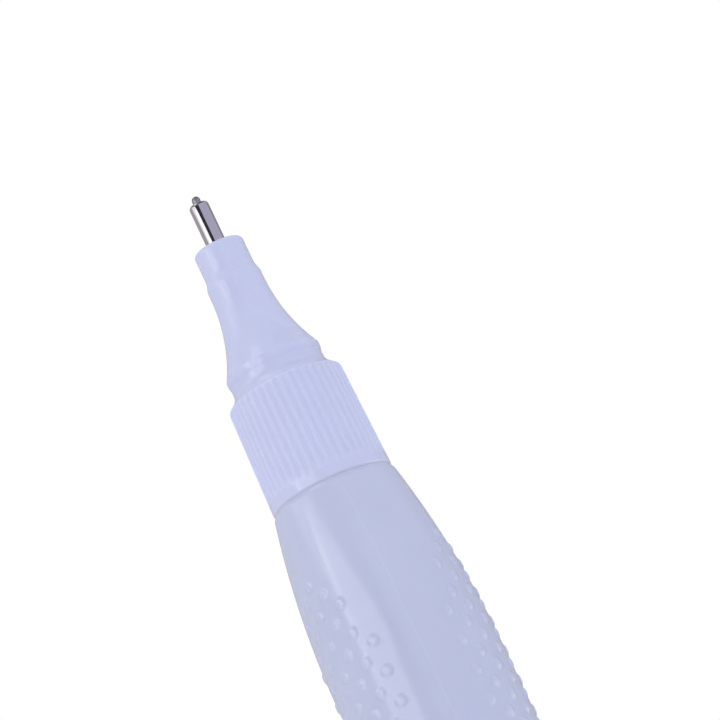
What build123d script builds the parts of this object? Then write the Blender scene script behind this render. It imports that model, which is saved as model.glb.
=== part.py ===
from build123d import *
import os
from math import asin, atan, cos, degrees, radians, sin, sqrt, tau

# Correction pen: a soft squeeze barrel, a ribbed nozzle snapped on its neck, and a metal tip with a sprung
# pin valve. The pen stands on its flat rear face. The origin is the centre of that face, +Z runs along the
# pen to the tip, and lengths are in millimetres. A "round" is the radius of a rounded edge.

# Barrel: a blow-moulded bottle, widest in front of its middle, with a plain neck inside the collar
barrel_length = 105.27
barrel_rear_diameter = 13.2
barrel_widest_diameter = 16.75
widest_setback = 19.8
grip_length = 22.0
grip_fall = 0.275
barrel_wall = 0.9
rear_edge_round = 1.4
shoulder_step = 0.04
shoulder_chamfer = 0.3
neck_diameter = 9.9
neck_wall = 0.9

# Snap joint: a bead on the neck, in a groove in the nozzle's skirt
bead_setback = 2.6
bead_length = 1.6
bead_crest = 0.4
bead_proud = 0.3
snap_clearance = 0.05

# Grip dots: oval panels of staggered dots, equally spaced round the barrel for thumb and two fingers
panel_count = 3
dot_diameter = 1.4
dot_top_diameter = 0.7
dot_height = 0.18
dot_root = 0.2
dot_sides = 5
dot_pitch = 3.13
dot_rows = 9
dot_columns = 7
dot_column_angle = 10.9
panel_setback = 8.65
panel_margin = 0.6
panel_half_angle = 37.5

# Parting lines: the thin raised seam that the two mould halves leave, midway between two of the panels
# and on the opposite side
parting_line_width = 0.3
parting_line_height = 0.06

# Nozzle: ribbed collar, undercut, lip, flared cone, stem, and the plain seat for a cap
seam_gap = 0.05
skirt_wall = 1.16
collar_height = 11.15
collar_roof = 1.07
collar_draft = 0.3
collar_chamfer = 0.3
rib_count = 45
rib_groove_width = 0.5
rib_depth = 0.12
rib_band = 0.9
collar_ledge = 1.09
undercut_height = 1.8
undercut_chamfer = 0.3
lip_proud = 0.1
lip_slope = 0.4
lip_height = 0.5
flare_height = 8.35
stem_height = 0.8
step_height = 0.75
step_width = 0.26
step_round = 0.4
seat_diameter = 5.1
seat_height = 3.3
front_round = 0.8

# Neck gasket: the flat ring between the neck's end and the nozzle's ceiling
gasket_thickness = 1.0

# Tip tube: stainless tube pressed into the nozzle, its end drawn in around the pin
tube_wall = 0.35
tube_reach = 4.55
tube_insert = 8.4
tube_nose_height = 0.4
tube_lip_width = 0.145
tube_mouth_length = 0.4

# Valve pin: runs through the tube, proud of its mouth, and slides back when it is pressed
pin_diameter = 0.85
pin_clearance = 0.05
pin_flow_gap = 0.225
pin_reach = 0.83

# Pin collar: pressed on the pin, seals on the tube's rear end and carries the spring
seal_gap = 0.05
collar_flange_height = 1.0
collar_flange_clearance = 0.08
collar_spigot_wall = 0.525
collar_spigot_height = 1.5
flow_notch_count = 3
flow_notch_width = 0.8

# Valve chamber, closed behind by the perforated spring plug
chamber_clearance = 0.475
plug_thickness = 1.6
plug_hole_count = 4
plug_hole_diameter = 0.6
plug_hole_inset = 0.075

# Valve spring: one wire, wound with open ends
spring_wire_diameter = 0.3
spring_bore_clearance = 0.275
spring_turns = 5
spring_end_gap = 0.05
wire_sides = 6

# Mixing ball: loose in the barrel, at rest on its floor
ball_diameter = 4.5
ball_rest_gap = 0.1

# Heights along the pen, worked out from the rear face forwards
widest_height = barrel_length - widest_setback
nozzle_base = barrel_length + seam_gap
collar_top = nozzle_base + collar_height
ceiling = collar_top - collar_roof
neck_top = ceiling - gasket_thickness
lip_root = collar_top + undercut_height
lip_rear = lip_root + lip_slope
lip_front = lip_rear + lip_height
flare_front = lip_front + flare_height
step_rear = flare_front + stem_height
step_front = step_rear + step_height
nozzle_front = step_front + seat_height
tube_mouth = nozzle_front + tube_reach
chamber_front = nozzle_front - tube_insert
flange_front = chamber_front - seal_gap
flange_rear = flange_front - collar_flange_height
spigot_rear = flange_rear - collar_spigot_height
plug_front = ceiling + plug_thickness
pin_tip = tube_mouth + pin_reach

# Radii
rear_radius = barrel_rear_diameter / 2
widest_radius = barrel_widest_diameter / 2
grip_rear_radius = widest_radius - grip_fall
neck_radius = neck_diameter / 2
neck_bore_radius = neck_radius - neck_wall
skirt_radius = neck_radius + snap_clearance
collar_rear_radius = skirt_radius + skirt_wall
collar_front_radius = collar_rear_radius - collar_draft
front_radius = collar_rear_radius + shoulder_step
undercut_radius = collar_front_radius - collar_ledge
lip_radius = undercut_radius + lip_proud
seat_radius = seat_diameter / 2
stem_radius = seat_radius + step_width
pin_radius = pin_diameter / 2
mouth_radius = pin_radius + pin_clearance
tube_lip_radius = mouth_radius + tube_lip_width
tube_bore_radius = pin_radius + pin_flow_gap
tube_radius = tube_bore_radius + tube_wall
spigot_radius = pin_radius + collar_spigot_wall
wire_radius = spring_wire_diameter / 2
coil_radius = spigot_radius + spring_bore_clearance + wire_radius
chamber_radius = coil_radius + wire_radius + chamber_clearance
flange_radius = chamber_radius - collar_flange_clearance
plug_hole_radius = plug_hole_diameter / 2
plug_hole_reach = coil_radius - wire_radius - plug_hole_inset - plug_hole_radius
ball_radius = ball_diameter / 2

# The parting lines face -Y and +Y, and -Y lies midway between two panels
parting_angles = (-90, 90)
panel_angles = [parting_angles[0] + (panel + 0.5) * 360 / panel_count for panel in range(panel_count)]


def barrel_surface(height):
    """Radius of the barrel at a height, and how far its surface faces the tip there, in degrees.

    Two arcs leave the widest ring along the axis: one runs forward to the front ring, the other back over
    the grip. Behind the grip the side is a straight taper.
    """
    climb = height - widest_height
    if climb < -grip_length:
        taper = (grip_rear_radius - rear_radius) / (widest_height - grip_length)
        return rear_radius + height * taper, -degrees(atan(taper))
    end_radius, run = (front_radius, widest_setback) if climb > 0 else (grip_rear_radius, grip_length)
    fall = widest_radius - end_radius
    bow = (run**2 + fall**2) / (2 * fall)
    return widest_radius - bow + sqrt(bow**2 - climb**2), degrees(asin(climb / bow))


def barrel_sides(inset, bottom, top):
    """Draws the barrel's side from a lower to an upper height, moved towards the axis by inset."""
    widest = (widest_radius - inset, widest_height)
    grip_rear = (grip_rear_radius - inset, widest_height - grip_length)
    lower = (barrel_surface(bottom)[0] - inset, bottom)
    upper = (barrel_surface(top)[0] - inset, top)
    Line(lower, grip_rear)
    TangentArc(widest, grip_rear, tangent=(0, -1))
    TangentArc(widest, upper, tangent=(0, 1))
    return lower, upper


def snap_bead(clearance):
    """Draws the bead's section, grown by a clearance: a steep face to the rear and a lead-in to the front."""
    root = neck_radius - neck_wall / 2
    crest = neck_radius + bead_proud + clearance
    rear = barrel_length + bead_setback
    Polyline(
        (root, rear - clearance),
        (crest, rear - clearance),
        (crest, rear + bead_crest + clearance),
        (root, rear + bead_length + clearance),
        close=True,
    )


def side_plane(angle):
    """The upright plane through the axis whose own x axis points outwards at this angle."""
    out = Vector(cos(radians(angle)), sin(radians(angle)), 0)
    return Plane(origin=(0, 0, 0), x_dir=out, z_dir=out.cross(Vector(0, 0, 1)))


def rings(part, height):
    """The circular edges of a part at one height, smallest first."""
    near = 0.001
    circles = part.edges().filter_by(GeomType.CIRCLE)
    return circles.filter_by_position(Axis.Z, height - near, height + near).sort_by(SortBy.RADIUS)


def dot_places():
    """The seat of each grip dot: a frame on the barrel's surface that faces outwards."""
    half_length = (dot_rows - 1) / 2 * dot_pitch + panel_margin
    panel_middle = barrel_length - panel_setback - (dot_rows - 1) / 2 * dot_pitch
    places = []
    for column in range(dot_columns):
        across = (column - (dot_columns - 1) / 2) * dot_column_angle
        # Every second column is shifted by half a pitch, and has one dot less
        rows = dot_rows - (column + 1) % 2
        for row in range(rows):
            along = (row - (rows - 1) / 2) * dot_pitch
            if (across / panel_half_angle) ** 2 + (along / half_length) ** 2 > 1:
                continue
            radius, tilt = barrel_surface(panel_middle + along)
            for panel_angle in panel_angles:
                out = side_plane(panel_angle + across).x_dir
                facing = out * cos(radians(tilt)) + Vector(0, 0, sin(radians(tilt)))
                seat = out * radius + Vector(0, 0, panel_middle + along)
                places.append(Plane(origin=seat, x_dir=out.cross(Vector(0, 0, 1)), z_dir=facing).location)
    return places


# Grip dot: a low faceted dome, with a root that goes into the wall
dot_flank = (dot_diameter - dot_top_diameter) / 2 / dot_height
with BuildPart() as grip_dot:
    with BuildSketch(Plane.XY.offset(-dot_root)):
        RegularPolygon(dot_diameter / 2 + dot_flank * dot_root, dot_sides)
    extrude(amount=dot_root + dot_height, taper=degrees(atan(dot_flank)))

# Barrel
with BuildPart() as barrel:
    with BuildSketch(Plane.XZ):
        with BuildLine():
            barrel_sides(0, 0, barrel_length)
            Polyline((front_radius, barrel_length), (neck_radius, barrel_length), (neck_radius, neck_top))
            Polyline((neck_radius, neck_top), (0, neck_top), (0, 0), (rear_radius, 0))
        make_face()
    revolve(axis=Axis.Z)
    fillet(rings(barrel, 0)[-1], rear_edge_round)
    chamfer(rings(barrel, barrel_length)[-1], shoulder_chamfer)
    for angle in parting_angles:
        strip_angle = degrees(parting_line_width / widest_radius)
        with BuildSketch(side_plane(angle - strip_angle / 2)):
            with BuildLine():
                strip_bottom = rear_edge_round
                strip_top = barrel_length - shoulder_chamfer
                outside = barrel_sides(-parting_line_height, strip_bottom, strip_top)
                inside = barrel_sides(barrel_wall / 2, strip_bottom, strip_top)
                Line(outside[0], inside[0])
                Line(outside[1], inside[1])
            make_face()
        revolve(axis=Axis.Z, revolution_arc=strip_angle)
    with Locations(*dot_places()):
        add(grip_dot.part)
    with BuildSketch(Plane.XZ):
        with BuildLine():
            cavity_top = barrel_length - barrel_wall
            halfway = (widest_height + cavity_top) / 2
            wall_heights = (barrel_wall, widest_height - grip_length, widest_height, halfway, cavity_top)
            Polyline(
                (0, barrel_wall),
                *[(barrel_surface(height)[0] - barrel_wall, height) for height in wall_heights],
                (neck_bore_radius, cavity_top),
                (neck_bore_radius, neck_top),
                (0, neck_top),
                close=True,
            )
        make_face()
    revolve(axis=Axis.Z, mode=Mode.SUBTRACT)
    with BuildSketch(Plane.XZ):
        with BuildLine():
            snap_bead(0)
        make_face()
    revolve(axis=Axis.Z)

# Rib groove: a wedge along the collar's drafted side, from above the smooth band to past the collar's top
collar_lean = (collar_front_radius - collar_rear_radius) / collar_height
groove_start = (collar_rear_radius + collar_lean * rib_band, 0, nozzle_base + rib_band)
with BuildPart() as rib_groove:
    with BuildSketch(Plane(origin=groove_start, x_dir=(0, 1, 0), z_dir=(collar_lean, 0, 1))):
        with BuildLine():
            Polyline(
                (0, rib_depth),
                (rib_groove_width, -rib_depth),
                (-rib_groove_width, -rib_depth),
                close=True,
            )
        make_face()
    extrude(amount=collar_height)

# Nozzle: cone and ribbed collar in one moulding
with BuildPart() as nozzle:
    with BuildSketch(Plane.XZ):
        with BuildLine():
            Polyline(
                (0, nozzle_base),
                (collar_rear_radius, nozzle_base),
                (collar_front_radius, collar_top),
                (undercut_radius, collar_top),
                (undercut_radius, lip_root),
                (lip_radius, lip_rear),
                (lip_radius, lip_front),
            )
            TangentArc((stem_radius, flare_front), (lip_radius, lip_front), tangent=(0, -1))
            Polyline(
                (stem_radius, flare_front),
                (stem_radius, step_rear),
                (seat_radius, step_front),
                (seat_radius, nozzle_front),
                (0, nozzle_front),
                (0, nozzle_base),
            )
        make_face()
    revolve(axis=Axis.Z)
    fillet(rings(nozzle, nozzle_front)[-1], front_round)
    fillet(rings(nozzle, step_front) + rings(nozzle, step_rear), step_round)
    chamfer(rings(nozzle, collar_top)[-1], collar_chamfer)
    chamfer(rings(nozzle, collar_top)[0], undercut_chamfer)
    with PolarLocations(0, rib_count):
        add(rib_groove.part, mode=Mode.SUBTRACT)
    with BuildSketch(Plane.XZ):
        with BuildLine():
            Polyline(
                (0, nozzle_base),
                (skirt_radius, nozzle_base),
                (skirt_radius, ceiling),
                (chamber_radius, ceiling),
                (chamber_radius, chamber_front),
                (tube_radius, chamber_front),
                (tube_radius, nozzle_front),
                (0, nozzle_front),
                close=True,
            )
        make_face()
    revolve(axis=Axis.Z, mode=Mode.SUBTRACT)
    with BuildSketch(Plane.XZ):
        with BuildLine():
            snap_bead(snap_clearance)
        make_face()
    revolve(axis=Axis.Z, mode=Mode.SUBTRACT)

# Neck gasket
with BuildPart() as neck_gasket:
    with BuildSketch(Plane.XY.offset(neck_top)):
        Circle(neck_radius)
        Circle(neck_bore_radius, mode=Mode.SUBTRACT)
    extrude(amount=gasket_thickness)

# Tip tube: its outer corner is an arc that runs in from the side to the lip around the mouth
with BuildPart() as tip_tube:
    with BuildSketch(Plane.XZ):
        with BuildLine():
            nose_root = tube_mouth - tube_nose_height
            mouth_root = tube_mouth - tube_mouth_length
            throat = mouth_root - (tube_bore_radius - mouth_radius)
            lip = (tube_lip_radius, tube_mouth)
            TangentArc((tube_radius, nose_root), lip, tangent=(0, 1))
            Polyline(
                lip,
                (mouth_radius, tube_mouth),
                (mouth_radius, mouth_root),
                (tube_bore_radius, throat),
                (tube_bore_radius, chamber_front),
                (tube_radius, chamber_front),
                (tube_radius, nose_root),
            )
        make_face()
    revolve(axis=Axis.Z)

# Valve pin: a rod with a round end
with BuildPart() as valve_pin:
    with BuildSketch(Plane.XZ):
        with BuildLine():
            dome_root = pin_tip - pin_radius
            TangentArc((pin_radius, dome_root), (0, pin_tip), tangent=(0, 1))
            Polyline((0, pin_tip), (0, spigot_rear), (pin_radius, spigot_rear), (pin_radius, dome_root))
        make_face()
    revolve(axis=Axis.Z)

# Pin collar: a flange with flow notches in its rim, and a spigot inside the spring
with BuildPart() as pin_collar:
    with BuildSketch(Plane.XY.offset(flange_rear)):
        Circle(flange_radius)
        with PolarLocations(flange_radius, flow_notch_count):
            Rectangle(2 * (flange_radius - coil_radius), flow_notch_width, mode=Mode.SUBTRACT)
    extrude(amount=collar_flange_height)
    with BuildSketch(Plane.XY.offset(spigot_rear)):
        Circle(spigot_radius)
    extrude(amount=collar_spigot_height)
    with BuildSketch(Plane.XY.offset(spigot_rear)):
        Circle(pin_radius)
    extrude(amount=collar_spigot_height + collar_flange_height, mode=Mode.SUBTRACT)

# Spring plug: a disc pressed into the chamber, with a ring of flow holes inside the spring
with BuildPart() as spring_plug:
    with BuildSketch(Plane.XY.offset(ceiling)):
        Circle(chamber_radius)
        with PolarLocations(plug_hole_reach, plug_hole_count):
            Circle(plug_hole_radius, mode=Mode.SUBTRACT)
    extrude(amount=plug_thickness)

# Valve spring: the helix is followed by pairs of arcs, one pair to each quarter turn
coil_bottom = plug_front + spring_end_gap + wire_radius
coil_rise = flange_rear - plug_front - 2 * spring_end_gap - spring_wire_diameter
coil_pitch = coil_rise / spring_turns


def coil_point(turn):
    """A point of the wire's centre line, counted in turns from its lower end."""
    angle = tau * turn
    return Vector(coil_radius * cos(angle), coil_radius * sin(angle), coil_bottom + coil_pitch * turn)


def coil_heading(turn):
    """The direction of the wire's centre line at that point."""
    angle = tau * turn
    return Vector(-tau * coil_radius * sin(angle), tau * coil_radius * cos(angle), coil_pitch).normalized()


def arc_pair(start, end):
    """Draws the two arcs that join two points of the coil and keep its direction at both."""
    first, last = coil_point(start), coil_point(end)
    leave, arrive = coil_heading(start), coil_heading(end)
    span = last - first
    bend = 2 * (1 - leave.dot(arrive))
    forward = span.dot(leave + arrive)
    reach = (sqrt(forward**2 + bend * span.dot(span)) - forward) / bend
    corner_in, corner_out = first + leave * reach, last - arrive * reach
    middle = (corner_in + corner_out) * 0.5
    TangentArc(first, middle, tangent=leave)
    TangentArc(middle, last, tangent=corner_out - corner_in)


with BuildPart() as valve_spring:
    with BuildLine() as wire_path:
        for quarter in range(4 * spring_turns):
            arc_pair(quarter / 4, (quarter + 1) / 4)
    with BuildSketch(Plane(origin=coil_point(0), x_dir=(1, 0, 0), z_dir=coil_heading(0))):
        RegularPolygon(wire_radius, wire_sides)
    sweep(path=wire_path.wires()[0])

# The wire's least gap to itself, between points at least half a turn apart
steps_per_turn = 24
wire_points = [coil_point(step / steps_per_turn) for step in range(spring_turns * steps_per_turn + 1)]
coil_gap = min(
    (near - far).length - spring_wire_diameter
    for index, near in enumerate(wire_points)
    for far in wire_points[index + steps_per_turn // 2 :]
)
print(f"valve spring: least gap of the wire to itself {coil_gap:.2f} mm")

# Mixing ball
with BuildPart() as mixing_ball:
    with Locations((0, 0, barrel_wall + ball_rest_gap + ball_radius)):
        Sphere(ball_radius)

pieces = {
    "barrel": barrel,
    "nozzle": nozzle,
    "neck_gasket": neck_gasket,
    "tip_tube": tip_tube,
    "valve_pin": valve_pin,
    "pin_collar": pin_collar,
    "valve_spring": valve_spring,
    "spring_plug": spring_plug,
    "mixing_ball": mixing_ball,
}
os.makedirs("parts", exist_ok=True)
for name, piece in pieces.items():
    piece.part.label = name
    export_step(piece.part, f"parts/{name}.step")
print(f"length {pin_tip:.2f} mm, cap seat from {step_front:.2f} to {nozzle_front - front_round:.2f} mm")
print(f"spring from {plug_front:.2f} mm, ball may rise {ceiling - barrel_wall - ball_diameter:.2f} mm")
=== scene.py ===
import math

import bpy
import numpy as np
from mathutils import Matrix, Vector


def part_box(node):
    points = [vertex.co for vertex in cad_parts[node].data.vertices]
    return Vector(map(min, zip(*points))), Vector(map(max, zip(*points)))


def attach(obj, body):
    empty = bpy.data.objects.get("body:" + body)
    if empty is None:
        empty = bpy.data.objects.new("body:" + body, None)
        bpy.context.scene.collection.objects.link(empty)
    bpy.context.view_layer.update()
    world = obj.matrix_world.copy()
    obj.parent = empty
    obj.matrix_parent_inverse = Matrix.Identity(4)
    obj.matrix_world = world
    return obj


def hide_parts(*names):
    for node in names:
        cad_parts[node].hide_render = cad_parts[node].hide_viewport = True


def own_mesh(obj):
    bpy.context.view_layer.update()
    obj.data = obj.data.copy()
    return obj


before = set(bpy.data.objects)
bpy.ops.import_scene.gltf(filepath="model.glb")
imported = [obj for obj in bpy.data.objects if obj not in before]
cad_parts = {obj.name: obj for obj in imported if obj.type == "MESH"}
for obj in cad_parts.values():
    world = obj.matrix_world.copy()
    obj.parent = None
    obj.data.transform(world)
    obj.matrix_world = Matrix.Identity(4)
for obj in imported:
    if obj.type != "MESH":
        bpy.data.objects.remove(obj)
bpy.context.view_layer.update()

# Sizes are in millimetres and angles in degrees, as on a maker's drawing, and go into the meshes in
# metres. What the frame holds is read from it, and the rest is the drawing's own. A "round" is the
# radius of a rounded edge.
MM = 0.001


def box(node):
    """A node's lowest and highest corner, in millimetres."""
    return [np.array(corner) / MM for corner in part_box(node)]


(_, _, nozzle_base), (_, _, nozzle_front) = box("nozzle")
(_, _, neck_top), (neck_radius, _, ceiling) = box("neck_gasket")
(_, _, chamber_front), (tube_radius, _, tube_mouth) = box("tip_tube")
(_, _, pin_rear), (pin_radius, _, pin_tip) = box("valve_pin")
_, (chamber_radius, _, plug_front) = box("spring_plug")
(_, _, coil_low), (_, _, coil_high) = box("valve_spring")

# Barrel: widest at the front of its grip, bowed forward to the shoulder and tapered to its rear
seam_gap = 0.05
rear_radius = 6.6
widest_radius = 8.375
front_radius = 6.2
widest_setback = 19.8
grip_length = 22.0
grip_fall = 0.275
barrel_wall = 0.9
inner_bend = 10.0
neck_wall = 0.9
neck_round = 0.1
rear_edge_round = 1.4
shoulder_round = 0.5
shoulder_bevel = 0.5
seam_depth = 0.14
seam_drop = 0.2
shoulder = nozzle_base - seam_gap
widest_height = shoulder - widest_setback
seam_height = nozzle_base - seam_drop
seam_radius = front_radius - seam_depth

# Snap bead on the neck, and its groove in the nozzle's skirt
bead_setback = 2.6
bead_length = 1.6
bead_crest = 0.4
bead_ramp = 0.6
bead_proud = 0.3
bead_round = 0.1
bead_edge_round = 0.05
snap_clearance = 0.05
bead_base = shoulder + bead_setback

# Grip dots and parting lines
dot_diameter = 1.4
dot_crown = 0.6
dot_dome = 0.12
dot_height = 0.16
dot_pitch = 3.13
dot_rows = 9
dot_columns = 7
dot_column_angle = 10.9
panel_count = 3
panel_setback = 8.65
panel_margin = 0.6
panel_half_angle = 37.5
parting_angle = -90.0
parting_line_width = 0.4
parting_line_height = 0.025
parting_line_fade = 2.0
panel_step = 360 / panel_count
panel_half_length = (dot_rows - 1) / 2 * dot_pitch
panel_middle = shoulder - panel_setback - panel_half_length

# Nozzle, from its collar to its front face
collar_rear_radius = 6.19
collar_front_radius = 5.89
collar_height = 11.15
collar_bevel = 0.2
collar_base_round = 0.1
collar_top_round = 0.35
collar_edge_drop = 0.3
collar_top_rise = 0.95
rib_count = 45
rib_depth = 0.14
rib_band = 0.65
rib_fade = 1.1
undercut_radius = 4.77
undercut_height = 1.8
undercut_round = 1.4
lip_radius = 4.87
lip_slope = 0.4
lip_height = 0.5
lip_round = 0.15
flare_height = 8.35
stem_radius = 2.81
stem_height = 0.8
step_height = 0.75
step_round = 2.0
seat_radius = 2.55
front_round = 0.4
front_setback = 0.22
bore_round = 0.1
skirt_round = 0.1
skirt_radius = neck_radius + snap_clearance
rib_base = nozzle_base + rib_band
collar_top = nozzle_base + collar_height
collar_edge = collar_top - collar_edge_drop
lip_root = collar_top + undercut_height
lip_rear = lip_root + lip_slope
lip_front = lip_rear + lip_height
flare_front = lip_front + flare_height
step_rear = flare_front + stem_height
step_front = step_rear + step_height
front_face = nozzle_front - front_setback

# Metal tip and spring
tube_wall = 0.35
tube_rear_round = 0.05
tube_nose_round = 0.38
tube_mouth_length = 0.4
tube_mouth_round = 0.04
pin_clearance = 0.05
pin_tail_round = 0.08
coil_radius = 1.375
wire_radius = 0.15
spring_turns = 5

# Fineness of the meshes: counts of steps, rows and columns, and lengths of straight steps. Columns on a
# parting line are at angles from it, and the flare's rows crowd towards the lip by an exponent.
crease_angle = 50.0
steps_per_radian = 6
columns_per_dot = 12
rows_per_dot = 20
rows_past_dots = 6
steps_between_panels = 26
ridge_columns = (-0.8, -0.55, -0.3, 0.0, 0.3, 0.55, 0.8)
angle_places = 4
rear_row_length = 2.8
front_row_steps = 13
pole_radius = 1.5
floor_step = 2.5
inside_step = 20.0
columns_per_rib = 12
rib_fade_steps = 8
flare_steps = 25
flare_crowding = 1.5
nozzle_step = 0.9
tip_step = 0.8
tube_columns = 96
pin_columns = 64
dome_steps = 13
steps_per_coil = 60
wire_columns = 14


def outline(corners, spacing, loop=False):
    """Points along a chain of corners, each (radius, height, round), which a loop closes.

    The runs between corners are straight, divided about every spacing. At a corner with a round, an arc
    of that radius leaves both runs along their direction: its middle lies on the corner's bisector, at
    round / sin(half the corner's angle), and it starts round / tan(half the angle) from the corner.
    Along its bend the arc blends its two ends by sin(what is left of the bend) and sin(what is done of
    it), over sin(bend).
    """
    corners = np.array(corners, float)
    points, rounds = corners[:, :2], corners[:, 2]
    back = np.roll(points, 1, 0) - points
    onward = np.roll(points, -1, 0) - points
    back /= np.linalg.norm(back, axis=1, keepdims=True)
    onward /= np.linalg.norm(onward, axis=1, keepdims=True)
    half = np.arccos(np.clip((back * onward).sum(1), -1, 1)) / 2
    cut = rounds / np.tan(half)
    entry, leave = points + back * cut[:, None], points + onward * cut[:, None]
    chain = []
    for i in range(len(points)):
        if rounds[i] > 0:
            bisector = (back[i] + onward[i]) / np.linalg.norm(back[i] + onward[i])
            middle = points[i] + bisector * rounds[i] / math.sin(half[i])
            bend = math.pi - 2 * half[i]
            done = np.linspace(0, bend, 2 + int(steps_per_radian * bend))[:, None]
            arc = (entry[i] - middle) * np.sin(bend - done) + (leave[i] - middle) * np.sin(done)
            chain.append(middle + arc / math.sin(bend))
        else:
            chain.append(points[i : i + 1])
        following = (i + 1) % len(points)
        if following or loop:
            steps = max(1, round(np.linalg.norm(entry[following] - leave[i]) / spacing))
            share = np.linspace(0, 1, steps + 1)[1:-1, None]
            chain.append(leave[i] + (entry[following] - leave[i]) * share)
    return np.concatenate(chain)


def plain_corners(radius, height):
    """Corners for an outline at each radius and height, without rounds."""
    return np.column_stack([radius, height, 0 * height])


def around(radius, angles, height):
    """Points about the pen's axis: x = radius cos(angle), y = radius sin(angle), z = height."""
    return np.stack(np.broadcast_arrays(radius * np.cos(angles), radius * np.sin(angles), height), axis=-1)


def turned(profile, angles):
    """The surface that a profile of (radius, height) sweeps round the pen's axis: rows follow the profile."""
    return around(profile[:, :1], angles, profile[:, 1:])


def even_angles(count):
    """That many equal steps round the axis, in radians."""
    return np.arange(count) * math.tau / count


def arc_radius(run, fall):
    """Radius of an arc that starts along a line and falls away from it over a run.

    It is (run squared + fall squared) / twice the fall.
    """
    return (run**2 + fall**2) / (2 * fall)


def smooth(share):
    """0 below 0, 1 above 1, and an S curve between: 3 t squared - 2 t cubed."""
    share = np.clip(share, 0, 1)
    return share * share * (3 - 2 * share)


def piece(name, grid, body, node, material, loop=False):
    """Puts a grid of points into a mesh, its columns closed round the axis, and sets it on its CAD body.

    Rows that form a loop close on themselves; otherwise the first and the last row are each closed to
    the point at their middle. Faces point outwards where rows run forwards on the outside and columns
    run anticlockwise.
    """
    rows, columns = grid.shape[:2]
    corner = np.arange(rows * columns).reshape(rows, columns)
    beside = np.roll(corner, -1, 1)
    quads = np.stack([corner, beside, np.roll(beside, -1, 0), np.roll(corner, -1, 0)], axis=-1)
    points, faces = grid.reshape(-1, 3), quads.reshape(-1, 4).tolist()
    if not loop:
        poles = rows * columns + np.zeros((2, columns), int) + [[0], [1]]
        points = np.concatenate([points, grid[[0, -1]].mean(1)])
        faces = quads[:-1].reshape(-1, 4).tolist()
        faces += np.stack([poles[0], beside[0], corner[0]], axis=-1).tolist()
        faces += np.stack([poles[1], corner[-1], beside[-1]], axis=-1).tolist()
    mesh = bpy.data.meshes.new(name)
    mesh.from_pydata((points * MM).tolist(), [], faces)
    mesh.polygons.foreach_set("use_smooth", np.ones(len(faces), bool))
    mesh.set_sharp_from_angle(angle=math.radians(crease_angle))
    mesh.materials.append(material)
    obj = bpy.data.objects.new(name, mesh)
    bpy.context.scene.collection.objects.link(obj)
    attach(obj, body)
    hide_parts(node)
    return obj


def linear(hex_colour):
    """An sRGB colour such as "C2C8EA" as linear red, green, blue and alpha."""
    share = np.array([int(hex_colour[i : i + 2], 16) for i in (0, 2, 4)]) / 255
    return (*np.where(share <= 0.04045, share / 12.92, ((share + 0.055) / 1.055) ** 2.4), 1.0)


def per(size):
    """A texture's scale, in features to the metre, for features of this size in millimetres."""
    return 1 / (size * MM)


def add(tree, kind, sockets, **settings):
    """Adds a node with its settings. A socket takes a number or a colour, or the output that feeds it."""
    made = tree.nodes.new("ShaderNode" + kind)
    for name, value in settings.items():
        setattr(made, name, value)
    for name, value in sockets.items():
        if isinstance(value, bpy.types.NodeSocket):
            tree.links.new(value, made.inputs[name])
        else:
            made.inputs[name].default_value = value
    return made


def start(name):
    """A new material and its node tree, still empty."""
    material = bpy.data.materials.new(name)
    material.use_nodes = True
    material.node_tree.nodes.clear()
    return material, material.node_tree


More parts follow.
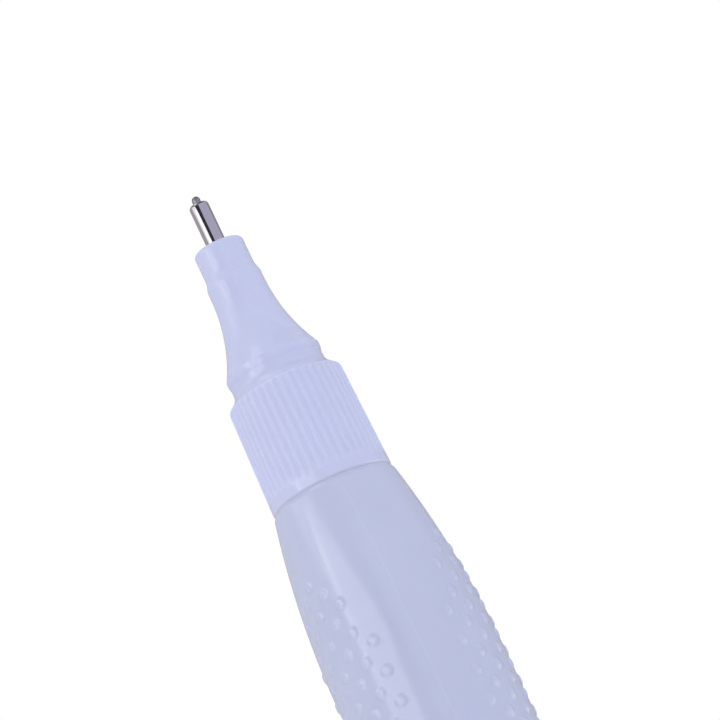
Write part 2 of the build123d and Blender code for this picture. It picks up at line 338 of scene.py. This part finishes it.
def blown_polyethylene():
    """Low-density polyethylene, blown in a polished mould: milky and satin, with faint lengthwise streaks.

    Light goes a little way into the wall, so the dots' shadows are soft. The wall's thickness varies,
    which clouds the colour over several millimetres. The parting lines are a little paler, and end
    before the shoulder. Streaks and grain are drawn coarser than real ones, so that they show.
    """
    cloud_size = 9.0
    streak_width = 1.3
    streak_shrink = 0.03
    grain_size = 0.35
    relief_depth = 0.02
    line_paleness = 0.16
    light_depth = 0.4
    material, tree = start("blown_polyethylene")
    place = add(tree, "TexCoord", {}).outputs["Object"]
    cloud = add(tree, "TexNoise", {"Vector": place, "Scale": per(cloud_size), "Detail": 2.0})
    stretch = add(tree, "Mapping", {"Vector": place, "Scale": (1, 1, streak_shrink)})
    streak = add(tree, "TexNoise", {
        "Vector": stretch.outputs["Vector"],
        "Scale": per(streak_width),
        "Detail": 3.0,
    })
    grain = add(tree, "TexNoise", {"Vector": place, "Scale": per(grain_size), "Detail": 2.0})
    clouded = add(tree, "MixRGB", {
        "Fac": cloud.outputs["Fac"],
        "Color1": linear("BBC2E0"),
        "Color2": linear("C3CAE5"),
    })
    split = add(tree, "SeparateXYZ", {"Vector": place})
    aside = add(tree, "Math", {0: split.outputs["X"]}, operation="ABSOLUTE")
    line = add(tree, "MapRange", {
        "Value": aside.outputs["Value"],
        "From Min": 0.0,
        "From Max": parting_line_width / 2 * MM,
        "To Min": line_paleness,
        "To Max": 0.0,
    })
    ending = add(tree, "MapRange", {
        "Value": split.outputs["Z"],
        "From Min": (shoulder - parting_line_fade) * MM,
        "From Max": (shoulder - parting_line_fade / 2) * MM,
        "To Min": 1.0,
        "To Max": 0.0,
    })
    pale = add(tree, "Math", {0: line.outputs["Result"], 1: ending.outputs["Result"]}, operation="MULTIPLY")
    tone = add(tree, "MixRGB", {
        "Fac": pale.outputs["Value"],
        "Color1": clouded.outputs["Color"],
        "Color2": linear("D2D8EE"),
    })
    rough = add(tree, "MapRange", {"Value": streak.outputs["Fac"], "To Min": 0.12, "To Max": 0.18})
    relief = add(tree, "MixRGB", {
        "Fac": 0.5,
        "Color1": streak.outputs["Fac"],
        "Color2": grain.outputs["Fac"],
    })
    bump = add(tree, "Bump", {
        "Height": relief.outputs["Color"],
        "Strength": 0.12,
        "Distance": relief_depth * MM,
    })
    shader = add(tree, "BsdfPrincipled", {
        "Base Color": tone.outputs["Color"],
        "Roughness": rough.outputs["Result"],
        "Normal": bump.outputs["Normal"],
        "IOR": 1.53,
        "Subsurface Weight": 0.6,
        "Subsurface Radius": (1.0, 1.0, 1.2),
        "Subsurface Scale": light_depth * MM,
    })
    add(tree, "OutputMaterial", {"Surface": shader.outputs["BSDF"]})
    return material


def moulded_polypropylene():
    """Polypropylene, injection moulded and coloured through: nearly opaque, with a fine moulded grain.

    The mould is polished, so the surface is glossy, but for the ribbed stretch of the collar, which is
    matt as the cutter left it in the mould. The grain is drawn coarser than a real one, so that it
    shows.
    """
    cloud_size = 6.0
    grain_size = 0.25
    grain_depth = 0.015
    rib_roughness = 0.8
    plain_gloss = 0.5
    rib_gloss = 0.12
    light_depth = 0.25
    material, tree = start("moulded_polypropylene")
    place = add(tree, "TexCoord", {}).outputs["Object"]
    cloud = add(tree, "TexNoise", {"Vector": place, "Scale": per(cloud_size), "Detail": 2.0})
    grain = add(tree, "TexNoise", {"Vector": place, "Scale": per(grain_size), "Detail": 3.0})
    tone = add(tree, "MixRGB", {
        "Fac": cloud.outputs["Fac"],
        "Color1": linear("C2C8EA"),
        "Color2": linear("C8CEEE"),
    })
    height = add(tree, "SeparateXYZ", {"Vector": place}).outputs["Z"]
    above = add(tree, "MapRange", {
        "Value": height,
        "From Min": rib_base * MM,
        "From Max": (rib_base + rib_fade) * MM,
    })
    below = add(tree, "MapRange", {
        "Value": height,
        "From Min": (collar_top - collar_top_round) * MM,
        "From Max": collar_top * MM,
        "To Min": 1.0,
        "To Max": 0.0,
    })
    ribbed = add(tree, "Math", {0: above.outputs["Result"], 1: below.outputs["Result"]}, operation="MULTIPLY")
    polish = add(tree, "MapRange", {"Value": grain.outputs["Fac"], "To Min": 0.07, "To Max": 0.12})
    rough = add(tree, "MapRange", {
        "Value": ribbed.outputs["Value"],
        "To Min": polish.outputs["Result"],
        "To Max": rib_roughness,
    })
    gloss = add(tree, "MapRange", {
        "Value": ribbed.outputs["Value"],
        "To Min": plain_gloss,
        "To Max": rib_gloss,
    })
    bump = add(tree, "Bump", {
        "Height": grain.outputs["Fac"],
        "Strength": 0.06,
        "Distance": grain_depth * MM,
    })
    shader = add(tree, "BsdfPrincipled", {
        "Base Color": tone.outputs["Color"],
        "Roughness": rough.outputs["Result"],
        "Specular IOR Level": gloss.outputs["Result"],
        "Normal": bump.outputs["Normal"],
        "IOR": 1.47,
        "Subsurface Weight": 0.4,
        "Subsurface Radius": (1.0, 1.0, 1.2),
        "Subsurface Scale": light_depth * MM,
    })
    add(tree, "OutputMaterial", {"Surface": shader.outputs["BSDF"]})
    return material


def metal(name, colour, dark_colour, roughness, line_width):
    """A bare metal: fine lines along the axis, from drawing, grinding or polishing, vary its tone and gloss.

    The lines are made coarser than real ones, so that they show.
    """
    line_shrink = 0.02
    line_depth = 0.003
    roughness_spread = 0.3
    material, tree = start(name)
    place = add(tree, "TexCoord", {}).outputs["Object"]
    stretch = add(tree, "Mapping", {"Vector": place, "Scale": (1, 1, line_shrink)})
    lines = add(tree, "TexNoise", {
        "Vector": stretch.outputs["Vector"],
        "Scale": per(line_width),
        "Detail": 4.0,
    })
    tone = add(tree, "MixRGB", {
        "Fac": lines.outputs["Fac"],
        "Color1": linear(dark_colour),
        "Color2": linear(colour),
    })
    rough = add(tree, "MapRange", {
        "Value": lines.outputs["Fac"],
        "To Min": roughness * (1 - roughness_spread),
        "To Max": roughness * (1 + roughness_spread),
    })
    bump = add(tree, "Bump", {"Height": lines.outputs["Fac"], "Strength": 0.1, "Distance": line_depth * MM})
    shader = add(tree, "BsdfPrincipled", {
        "Base Color": tone.outputs["Color"],
        "Roughness": rough.outputs["Result"],
        "Normal": bump.outputs["Normal"],
        "Metallic": 1.0,
    })
    add(tree, "OutputMaterial", {"Surface": shader.outputs["BSDF"]})
    return material


def moulded(name, colour, dark_colour, roughness, grain_size, index):
    """A plain moulded plastic or rubber: a fine grain in its tone, its polish and its relief."""
    grain_depth = 0.01
    roughness_spread = 0.2
    material, tree = start(name)
    place = add(tree, "TexCoord", {}).outputs["Object"]
    grain = add(tree, "TexNoise", {"Vector": place, "Scale": per(grain_size), "Detail": 3.0})
    tone = add(tree, "MixRGB", {
        "Fac": grain.outputs["Fac"],
        "Color1": linear(dark_colour),
        "Color2": linear(colour),
    })
    rough = add(tree, "MapRange", {
        "Value": grain.outputs["Fac"],
        "To Min": roughness * (1 - roughness_spread),
        "To Max": roughness * (1 + roughness_spread),
    })
    bump = add(tree, "Bump", {"Height": grain.outputs["Fac"], "Strength": 0.2, "Distance": grain_depth * MM})
    shader = add(tree, "BsdfPrincipled", {
        "Base Color": tone.outputs["Color"],
        "Roughness": rough.outputs["Result"],
        "Normal": bump.outputs["Normal"],
        "IOR": index,
    })
    add(tree, "OutputMaterial", {"Surface": shader.outputs["BSDF"]})
    return material


def barrel_side(height):
    """The barrel's radius at each height, and the slope of its surface towards the tip, as an angle.

    Two arcs leave the widest ring along the axis, one forward to the shoulder and one back over the
    grip: radius = widest - bow + root(bow squared - climb squared). Behind the grip the side is a
    straight taper.
    """
    climb = height - widest_height
    run = np.where(climb > 0, widest_setback, grip_length)
    fall = np.where(climb > 0, widest_radius - front_radius, grip_fall)
    bow = arc_radius(run, fall)
    on_arc = np.clip(climb, -grip_length, widest_setback)
    bowed = widest_radius - bow + np.sqrt(bow**2 - on_arc**2)
    taper = (widest_radius - grip_fall - rear_radius) / (widest_height - grip_length)
    behind = climb < -grip_length
    radius = np.where(behind, rear_radius + height * taper, bowed)
    slope = np.where(behind, -math.atan(taper), np.arcsin(np.clip(climb / bow, -1, 1)))
    return radius, slope


def dot_relief(angles, heights, radius):
    """Height of the grip dots over the barrel's side at each angle and height.

    Columns stand dot_column_angle apart about each panel's middle line, and every second one is shifted
    by half a pitch and has one dot less. A dot is kept inside the panel's oval, across squared + along
    squared = 1 in half widths and half lengths. A dot's crown is domed, by dot_dome x (distance /
    radius) squared of its height, and from the crown outwards the dot falls along an S curve.
    """
    across = (np.degrees(angles)[None, :] - parting_angle) % panel_step - panel_step / 2
    along = (heights - panel_middle)[:, None]
    last_column = (dot_columns - 1) / 2
    column = np.clip(np.round(across / dot_column_angle), -last_column, last_column)
    column_across = column * dot_column_angle
    rows = dot_rows - (column + last_column + 1) % 2
    row = np.clip(np.round(along / dot_pitch + (rows - 1) / 2), 0, rows - 1)
    row_along = (row - (rows - 1) / 2) * dot_pitch
    sideways = np.radians(across - column_across) * radius[:, None]
    reach = np.hypot(sideways, along - row_along)
    half_length = panel_half_length + panel_margin
    kept = (column_across / panel_half_angle) ** 2 + (row_along / half_length) ** 2 <= 1
    fall = (reach - dot_crown / 2) / (dot_diameter / 2 - dot_crown / 2)
    dome = 1 - dot_dome * np.clip(reach / (dot_diameter / 2), 0, 1) ** 2
    return dot_height * kept * dome * (1 - smooth(fall))


def parting_relief(angles, heights, radius):
    """Height of the two parting lines over the barrel's side: a low rounded ridge on -Y and one on +Y.

    It falls from the middle of the ridge to its sides, and from parting_line_fade within its ends, along
    S curves.
    """
    off = np.abs((np.degrees(angles) - parting_angle + 90) % 180 - 90)
    reach = np.radians(off)[None, :] * radius[:, None] / (parting_line_width / 2)
    ends = np.minimum(heights - rear_edge_round, shoulder - shoulder_round - heights) / parting_line_fade
    return parting_line_height * (1 - smooth(reach)) * smooth(ends)[:, None]


def barrel_columns():
    """The angles of the barrel's columns: close over the dots and the parting lines, wider between panels."""
    half_columns = dot_columns * columns_per_dot // 2
    column_step = dot_column_angle / columns_per_dot
    over_dots = panel_step / 2 + column_step * np.arange(-half_columns, half_columns + 1)
    between = np.linspace(over_dots[-1], panel_step + over_dots[0], steps_between_panels + 1)[1:-1]
    panels = np.add.outer(panel_step * np.arange(panel_count), np.concatenate([over_dots, between]))
    ridges = np.add.outer((0, 180), ridge_columns)
    columns = np.concatenate([panels.ravel(), ridges.ravel()]) % 360
    return np.radians(parting_angle + np.unique(np.round(columns, angle_places)))


def barrel_rows(side_start, side_end):
    """The heights of the rows on the barrel's side: close over the dots, wider behind and ahead of them."""
    half_rows = (dot_rows - 1) * rows_per_dot // 2 + rows_past_dots
    row_step = dot_pitch / rows_per_dot
    over_dots = panel_middle + row_step * np.arange(-half_rows, half_rows + 1)
    behind = np.arange(side_start, over_dots[0] - row_step, rear_row_length)
    in_front = np.linspace(over_dots[-1], side_end, front_row_steps + 1)[1:]
    return np.concatenate([behind, over_dots, in_front])


def make_barrel(material):
    """The squeeze bottle: floor, dotted side, shoulder and neck outside, then bore, wall and floor inside.

    Floor, neck and inside are turned profiles. The side stands out from barrel_side by the relief of its
    dots and parting lines, square to the surface: radius + relief x cos(slope) and height + relief x
    sin(slope).
    """
    corner_height = seam_height - shoulder_bevel
    side_start, side_end = 2 * rear_edge_round, corner_height - shoulder_round
    angles, heights = barrel_columns(), barrel_rows(side_start, side_end)
    radius, slope = barrel_side(heights)
    relief = np.maximum(dot_relief(angles, heights, radius), parting_relief(angles, heights, radius))
    out = radius[:, None] + relief * np.cos(slope)[:, None]
    up = heights[:, None] + relief * np.sin(slope)[:, None]

    start_radius, end_radius, corner_radius = barrel_side(np.array([side_start, side_end, corner_height]))[0]
    floor = outline([
        (pole_radius, 0, 0),
        (rear_radius, 0, rear_edge_round),
        (start_radius, side_start, 0),
    ], floor_step)[:-1]
    bore_radius = neck_radius - neck_wall
    cavity_top = shoulder - barrel_wall
    inner_heights = np.array([
        cavity_top,
        widest_height + inner_bend,
        widest_height,
        widest_height - grip_length,
        barrel_wall,
    ])
    neck_and_inside = outline([
        (end_radius, side_end, 0),
        (corner_radius, corner_height, shoulder_round),
        (seam_radius, seam_height, 0),
        (neck_radius, nozzle_base, neck_round),
        (neck_radius, bead_base, 0),
        (neck_radius + bead_proud, bead_base, bead_edge_round),
        (neck_radius + bead_proud, bead_base + bead_crest, bead_round),
        (neck_radius, bead_base + bead_crest + bead_ramp, bead_round),
        (neck_radius, neck_top, neck_round),
        (bore_radius, neck_top, neck_round),
        (bore_radius, cavity_top, 0),
        *plain_corners(barrel_side(inner_heights)[0] - barrel_wall, inner_heights),
        (pole_radius, barrel_wall, 0),
    ], inside_step)[1:]
    grid = np.concatenate([turned(floor, angles), around(out, angles, up), turned(neck_and_inside, angles)])
    piece("barrel_bottle", grid, "pen", "barrel", material)


def collar_side(height):
    """The radius of the collar's drafted side at each height: a straight line from its rear to its front."""
    draft = (collar_front_radius - collar_rear_radius) / collar_height
    return collar_rear_radius + draft * (height - nozzle_base)


def make_nozzle(material):
    """The nozzle: a turned profile, its collar cut by rib grooves.

    The collar's top is a shoulder that slopes up to the undercut through a wide fillet, and the flare is
    an arc that ends along the stem. The collar's radius is the lesser of the profile and the drafted
    side less the groove, whose depth is rib_depth x (1 + cos(rib_count x angle)) / 2, so that the
    grooves run out over the rounded top edge. Above the smooth band they fade in along an S curve.
    """
    fade_rows = rib_base + rib_fade * np.linspace(0, 1, rib_fade_steps + 1)
    flare_rows = lip_front + flare_height * np.linspace(0, 1, flare_steps + 1) ** flare_crowding
    bow = arc_radius(flare_height, lip_radius - stem_radius)
    flare = stem_radius + bow - np.sqrt(bow**2 - (flare_front - flare_rows) ** 2)
    groove_radius = skirt_radius + bead_proud
    profile = outline([
        (skirt_radius, nozzle_base, skirt_round),
        (seam_radius, seam_height, 0),
        (collar_rear_radius, seam_height + collar_bevel, collar_base_round),
        *plain_corners(collar_side(fade_rows), fade_rows),
        (collar_front_radius, collar_edge, collar_top_round),
        (undercut_radius, collar_edge + collar_top_rise, undercut_round),
        (undercut_radius, lip_root, lip_round),
        (lip_radius, lip_rear, lip_round),
        (lip_radius, lip_front, lip_round / 2),
        *plain_corners(flare, flare_rows)[1:],
        (stem_radius, step_rear, step_round),
        (seat_radius, step_front, step_round),
        (seat_radius, front_face, front_round),
        (tube_radius, front_face, bore_round),
        (tube_radius, chamber_front, 0),
        (chamber_radius, chamber_front, 0),
        (chamber_radius, ceiling, 0),
        (skirt_radius, ceiling, 0),
        (skirt_radius, bead_base + bead_length + snap_clearance, 0),
        (groove_radius, bead_base + bead_crest + snap_clearance, 0),
        (groove_radius, bead_base - snap_clearance, 0),
        (skirt_radius, bead_base - snap_clearance, 0),
    ], nozzle_step, loop=True)
    radius, height = profile[:, :1], profile[:, 1:]
    angles = even_angles(rib_count * columns_per_rib)
    fade = smooth((height - rib_base) / rib_fade)
    groove = rib_depth * fade * (1 + np.cos(rib_count * angles)) / 2
    grid = around(np.minimum(radius, collar_side(height) - groove), angles, height)
    piece("nozzle_moulding", grid, "pen", "nozzle", material, loop=True)


def make_tube(material):
    """The tip tube: a turned ring, its end drawn in over a round to the lip about the pin."""
    mouth_radius = pin_radius + pin_clearance
    bore = tube_radius - tube_wall
    mouth_root = tube_mouth - tube_mouth_length
    profile = outline([
        (bore, chamber_front, 0),
        (tube_radius, chamber_front, tube_rear_round),
        (tube_radius, tube_mouth, tube_nose_round),
        (mouth_radius, tube_mouth, tube_mouth_round),
        (mouth_radius, mouth_root, 0),
        (bore, mouth_root - (bore - mouth_radius), 0),
    ], tip_step, loop=True)
    grid = turned(profile, even_angles(tube_columns))
    piece("tip_tube_steel", grid, "pen", "tip_tube", material, loop=True)


def make_pin(material):
    """The valve pin: a turned rod whose front end is a half ball, r cos(t) out and r sin(t) forward."""
    dome_base = pin_tip - pin_radius
    dome = np.linspace(0, math.pi / 2, dome_steps + 1)[:-1]
    rod = outline([
        (pin_radius / 2, pin_rear, 0),
        (pin_radius, pin_rear, pin_tail_round),
        (pin_radius, dome_base, 0),
    ], tip_step)[:-1]
    end = np.column_stack([pin_radius * np.cos(dome), dome_base + pin_radius * np.sin(dome)])
    grid = turned(np.concatenate([rod, end]), even_angles(pin_columns))
    piece("valve_pin_steel", grid, "valve", "valve_pin", material)


def make_spring(material):
    """The valve spring: a round wire along a helix, centre line (R cos t, R sin t, climb x t).

    The wire's section is a circle in the plane of the helix's outward direction and the one square to
    both that and the wire.
    """
    turn = np.linspace(0, math.tau * spring_turns, steps_per_coil * spring_turns + 1)
    climb = (coil_high - coil_low - 2 * wire_radius) / turn[-1]
    centre = around(coil_radius, turn, coil_low + wire_radius + climb * turn)
    out = around(1.0, turn, 0.0)
    along = around(coil_radius, turn + math.pi / 2, climb)
    along /= np.linalg.norm(along, axis=1, keepdims=True)
    across = np.cross(along, out)
    section = even_angles(wire_columns)[None, :, None]
    ring = out[:, None] * np.cos(section) + across[:, None] * np.sin(section)
    grid = centre[:, None] + wire_radius * ring
    spring = piece("valve_spring_wire", grid, "pen", "valve_spring", material)
    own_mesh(spring)


tube_steel = metal("drawn_stainless_tube", "D2D0D4", "B9B7BC", roughness=0.1, line_width=0.05)
pin_steel = metal("ground_stainless_pin", "B4B2B8", "95939A", roughness=0.45, line_width=0.04)
spring_steel = metal("drawn_spring_wire", "A9A8AC", "8C8B90", roughness=0.22, line_width=0.03)
ball_steel = metal("polished_ball_steel", "C4C3C6", "B2B1B5", roughness=0.14, line_width=0.06)
acetal = moulded("moulded_acetal", "EFEEE8", "E6E5DE", roughness=0.4, grain_size=0.2, index=1.48)
rubber = moulded("gasket_rubber_sheet", "B4B4B4", "A2A2A2", roughness=0.75, grain_size=0.12, index=1.52)

make_barrel(blown_polyethylene())
make_nozzle(moulded_polypropylene())
make_tube(tube_steel)
make_pin(pin_steel)
make_spring(spring_steel)

# Pieces that keep the CAD's own mesh
kept_nodes = {"neck_gasket": rubber, "pin_collar": acetal, "spring_plug": acetal, "mixing_ball": ball_steel}
for node, material in kept_nodes.items():
    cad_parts[node].data.materials.clear()
    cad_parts[node].data.materials.append(material)

# Camera: it stands low beside the pen, looks up along it and is rolled, so that the pen leans across the
# picture. Azimuth and yaw are counted from +X towards +Y, pitch is above the horizon, and roll turns the
# top to the right.
camera_azimuth = -99.5
camera_distance = 401.25
camera_height = 11.33
camera_yaw = 79.394
camera_pitch = 14.586
camera_roll = 25.516
camera_lens = 215.25
camera_sensor = 36.0
camera_clip = 10.0

# Studio: an even soft light, softboxes to the camera's left and right and overhead, and walls that show
# only in the pen's gloss, dark about the camera and grey elsewhere. The softboxes' faces are white, and
# the light that they shed is a little warm. Their angles are seen from the pen's collar.
white_colour = "FFFFFF"
lamp_colour = "FFE9D0"
even_light = 1.0
aim_height = 110.0
softbox_distance = 150.0
wall_radius = 620.0
wall_step = 6.0
floor_colour = "F4F4F4"
floor_reach = 3000.0
floor_near = 150.0
floor_far = 900.0


def camera_frame():
    """The camera's right, up and backward directions."""
    yaw, pitch, roll = (math.radians(angle) for angle in (camera_yaw, camera_pitch, camera_roll))
    forward = Vector((math.cos(pitch) * math.cos(yaw), math.cos(pitch) * math.sin(yaw), math.sin(pitch)))
    level = forward.cross(Vector((0, 0, 1))).normalized()
    up = level.cross(forward) * math.cos(roll) + level * math.sin(roll)
    return forward.cross(up), up, -forward


def make_camera():
    """The photograph's camera."""
    data = bpy.data.cameras.new("photo_camera")
    data.lens = camera_lens
    data.sensor_width = camera_sensor
    data.clip_start = camera_clip * MM
    camera = bpy.data.objects.new("photo_camera", data)
    camera.matrix_world = Matrix(camera_frame()).transposed().to_4x4()
    camera.location = around(camera_distance, math.radians(camera_azimuth), camera_height) * MM
    bpy.context.scene.collection.objects.link(camera)
    bpy.context.scene.camera = camera


def make_world():
    """White to camera, glossy and transmission rays, and an even soft light on everything else."""
    world = bpy.data.worlds.new("white_studio")
    bpy.context.scene.world = world
    world.use_nodes = True
    tree = world.node_tree
    tree.nodes.clear()
    path = add(tree, "LightPath", {})
    seen = path.outputs["Is Camera Ray"]
    for ray in ("Is Glossy Ray", "Is Transmission Ray"):
        seen = add(tree, "Math", {0: seen, 1: path.outputs[ray]}, operation="MAXIMUM").outputs["Value"]
    white = add(tree, "Background", {"Color": linear(white_colour), "Strength": 1.0})
    soft = add(tree, "Background", {"Color": linear(white_colour), "Strength": even_light})
    mix = add(tree, "MixShader", {0: seen, 1: soft.outputs[0], 2: white.outputs[0]})
    add(tree, "OutputWorld", {"Surface": mix.outputs[0]})


def make_floor():
    """A pale floor, of matt paint near the pen and as white as the background far from it."""
    material, tree = start("pale_floor")
    place = add(tree, "TexCoord", {}).outputs["Object"]
    away = add(tree, "VectorMath", {0: place}, operation="LENGTH")
    far = add(tree, "MapRange", {
        "Value": away.outputs["Value"],
        "From Min": floor_near * MM,
        "From Max": floor_far * MM,
    })
    paint = add(tree, "BsdfDiffuse", {"Color": linear(floor_colour)})
    white = add(tree, "Emission", {"Color": linear(white_colour), "Strength": 1.0})
    mix = add(tree, "MixShader", {0: far.outputs["Result"], 1: paint.outputs[0], 2: white.outputs[0]})
    add(tree, "OutputMaterial", {"Surface": mix.outputs[0]})
    mesh = bpy.data.meshes.new("floor")
    corners = np.array([(-1, -1, 0), (1, -1, 0), (1, 1, 0), (-1, 1, 0)]) * floor_reach * MM
    mesh.from_pydata(corners.tolist(), [], [(0, 1, 2, 3)])
    mesh.materials.append(material)
    floor = bpy.data.objects.new("floor", mesh)
    bpy.context.scene.collection.objects.link(floor)


def make_panel(name, grid, colour, strength):
    """A studio panel of an even tone that shows only in reflections, from a grid of points in metres."""
    material, tree = start(name)
    glow = add(tree, "Emission", {"Color": linear(colour), "Strength": strength})
    add(tree, "OutputMaterial", {"Surface": glow.outputs[0]})
    rows, columns = grid.shape[:2]
    corner = np.arange(rows * columns).reshape(rows, columns)
    quads = np.stack([corner[:-1, :-1], corner[:-1, 1:], corner[1:, 1:], corner[1:, :-1]], axis=-1)
    mesh = bpy.data.meshes.new(name)
    mesh.from_pydata(grid.reshape(-1, 3).tolist(), [], quads.reshape(-1, 4).tolist())
    mesh.materials.append(material)
    panel = bpy.data.objects.new(name, mesh)
    for ray in ("camera", "diffuse", "transmission", "volume_scatter", "shadow"):
        setattr(panel, "visible_" + ray, False)
    bpy.context.scene.collection.objects.link(panel)


def make_wall(name, azimuths, lifts, colour):
    """A wall of the studio: part of a drum about the pen, between two azimuths and two elevations.

    Azimuths are counted from the camera to its right, and elevations are seen from the pen's collar, so
    that height = collar + drum radius x tan(elevation).
    """
    first, last = azimuths
    steps = 1 + int((last - first) / wall_step)
    angles = np.radians(camera_azimuth + np.linspace(first, last, steps + 1))
    heights = aim_height + wall_radius * np.tan(np.radians(lifts))[:, None]
    make_panel(name, around(wall_radius, angles, heights) * MM, colour, 1.0)


def make_softbox(name, across, lift, glow, light=0.0, tilt=0.0, distance=softbox_distance):
    """A softbox that faces the pen's collar, between two angles to the camera's right and two above it.

    Its tilt turns it so that its right end goes down. Its face shows in reflections, with the radiance
    glow. One that sheds light on the pen has a lamp at the same place: power = radiance x pi x area.
    """
    (left, right), (low, high) = np.radians(across), np.radians(lift)
    aside, above, turn = (left + right) / 2, (low + high) / 2, math.radians(tilt)
    to_right, to_top, to_camera = camera_frame()
    towards = to_right * math.sin(aside) * math.cos(above) + to_top * math.sin(above)
    towards += to_camera * math.cos(aside) * math.cos(above)
    level = to_top.cross(towards).normalized()
    level = level * math.cos(turn) - towards.cross(level) * math.sin(turn)
    upright = towards.cross(level)
    width = 2 * distance * math.tan((right - left) / 2) * MM
    height = 2 * distance * math.tan((high - low) / 2) * MM
    middle = (Vector((0, 0, aim_height)) + towards * distance) * MM
    lower, upper = middle - upright * height / 2, middle + upright * height / 2
    corners = [[end - level * width / 2, end + level * width / 2] for end in (lower, upper)]
    make_panel(name, np.array(corners), white_colour, glow)
    if light == 0:
        return
    data = bpy.data.lights.new(name, "AREA")
    data.shape = "RECTANGLE"
    data.size = width
    data.size_y = height
    data.color = linear(lamp_colour)[:3]
    data.energy = light * math.pi * width * height
    lamp = bpy.data.objects.new(name + "_light", data)
    lamp.matrix_world = Matrix((level, upright, towards)).transposed().to_4x4()
    lamp.location = middle
    lamp.visible_camera = False
    lamp.visible_glossy = False
    bpy.context.scene.collection.objects.link(lamp)


make_camera()
make_world()
make_floor()
make_softbox("left_softbox", across=(-64, -20), lift=(0, 20), glow=1.8, light=0.44, tilt=4)
make_softbox("left_softbox_end", across=(-95, -64), lift=(0.5, 20), glow=1.3, light=0.44, tilt=4)
make_softbox("left_softbox_lamp", across=(-63, -55), lift=(-14, 16), glow=3.0, tilt=-38, distance=140.0)
make_softbox("lower_softbox", across=(-52, -20), lift=(-40, 2), glow=1.8)
make_softbox("right_softbox", across=(50, 112), lift=(-10, 15), glow=1.8)
make_softbox("overhead_softbox", across=(-118, -84), lift=(42, 58), glow=1.3, light=0.1)
make_wall("camera_gap", azimuths=(-40, 3), lifts=(-9, 29), colour="3C3A43")
make_wall("upper_wall", azimuths=(-40, 3), lifts=(29, 84), colour="8A8892")
make_wall("right_wall", azimuths=(3, 110), lifts=(-9, 44), colour="D0CEE4")
make_wall("upper_right_wall", azimuths=(3, 110), lifts=(44, 84), colour="6A6878")
make_wall("back_right_wall", azimuths=(110, 180), lifts=(-9, 84), colour="A6A4AE")
make_wall("back_left_wall", azimuths=(180, 250), lifts=(-9, 84), colour="C2BEC0")
make_wall("left_wall", azimuths=(250, 320), lifts=(-9, 44), colour="C6C0C2")
make_wall("upper_left_wall", azimuths=(250, 320), lifts=(44, 84), colour="8C8890")

bpy.context.scene.view_settings.view_transform = "Standard"
